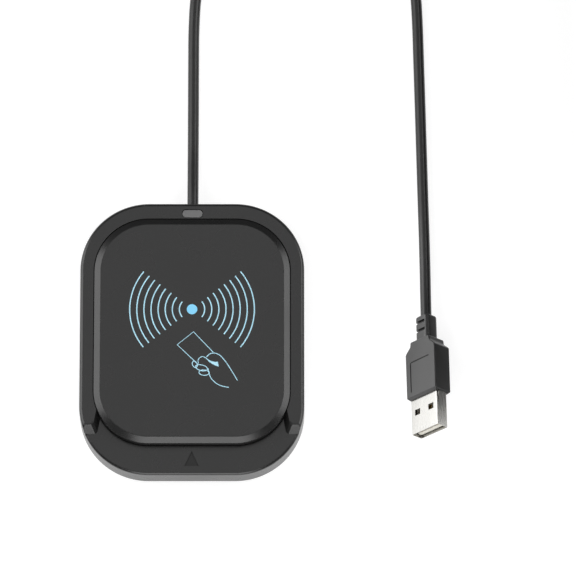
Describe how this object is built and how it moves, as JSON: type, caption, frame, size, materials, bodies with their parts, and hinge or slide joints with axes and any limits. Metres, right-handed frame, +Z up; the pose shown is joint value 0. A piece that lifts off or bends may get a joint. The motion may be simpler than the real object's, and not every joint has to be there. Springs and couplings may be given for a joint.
{
  "type": "rfid card reader",
  "caption": "Desktop RFID card reader: rounded low case with a raised card platform, a U-shaped rim, a front ledge and a USB lead with plug.",
  "frame": {"origin": "on the table, under the middle of the reader's footprint, without its lead", "axes": "+X to the user's right, +Y from the front ledge towards the back wall where the lead leaves, +Z up"},
  "size_m": [0.1186, 0.2213, 0.0172],
  "materials": {
    "black_plastic": "fine moulded texture, satin",
    "lens_plastic": "smoky translucent, smooth",
    "foot_rubber": "matte",
    "cord_jacket": "soft extruded PVC, satin",
    "strap": "woven strap",
    "label": "blank foil label",
    "screw_steel": "zinc plated",
    "shell_steel": "bright nickel plate",
    "contact_gold": "gold flash",
    "copper": "enamelled copper",
    "board": "solder mask",
    "chip": "moulded epoxy",
    "nylon": "natural nylon",
    "wire_red": "PVC insulation",
    "wire_white": "PVC insulation",
    "wire_green": "PVC insulation",
    "wire_black": "PVC insulation"
  },
  "bodies": {
    "root": {"top_cover": "black_plastic", "card_platform": "black_plastic", "light_window": "lens_plastic", "base_shell": "black_plastic", "foot_1": "foot_rubber", "foot_2": "foot_rubber", "foot_3": "foot_rubber", "foot_4": "foot_rubber", "rating_plate": "label", "case_screw_1": "screw_steel", "case_screw_2": "screw_steel", "case_screw_3": "screw_steel", "case_screw_4": "screw_steel", "board_screw_1": "screw_steel", "board_screw_2": "screw_steel", "main_board": "board", "reader_chip": "chip", "controller_chip": "chip", "crystal": "screw_steel", "regulator": "chip", "status_light": "lens_plastic", "buzzer": "chip", "cable_header": "nylon", "lead_housing": "nylon", "lead_wire_1": "wire_red", "lead_wire_2": "wire_white", "lead_wire_3": "wire_green", "lead_wire_4": "wire_black", "antenna_coil": "copper", "cord_grommet": "cord_jacket", "cord_lead": "cord_jacket", "cord_coil": "cord_jacket", "cord_tail": "cord_jacket", "cord_tie": "strap", "plug_relief": "cord_jacket", "plug_body": "cord_jacket", "plug_shell": "shell_steel", "plug_tongue": "nylon", "plug_contact_1": "contact_gold", "plug_contact_2": "contact_gold", "plug_contact_3": "contact_gold", "plug_contact_4": "contact_gold"}
  },
  "joints": []
}
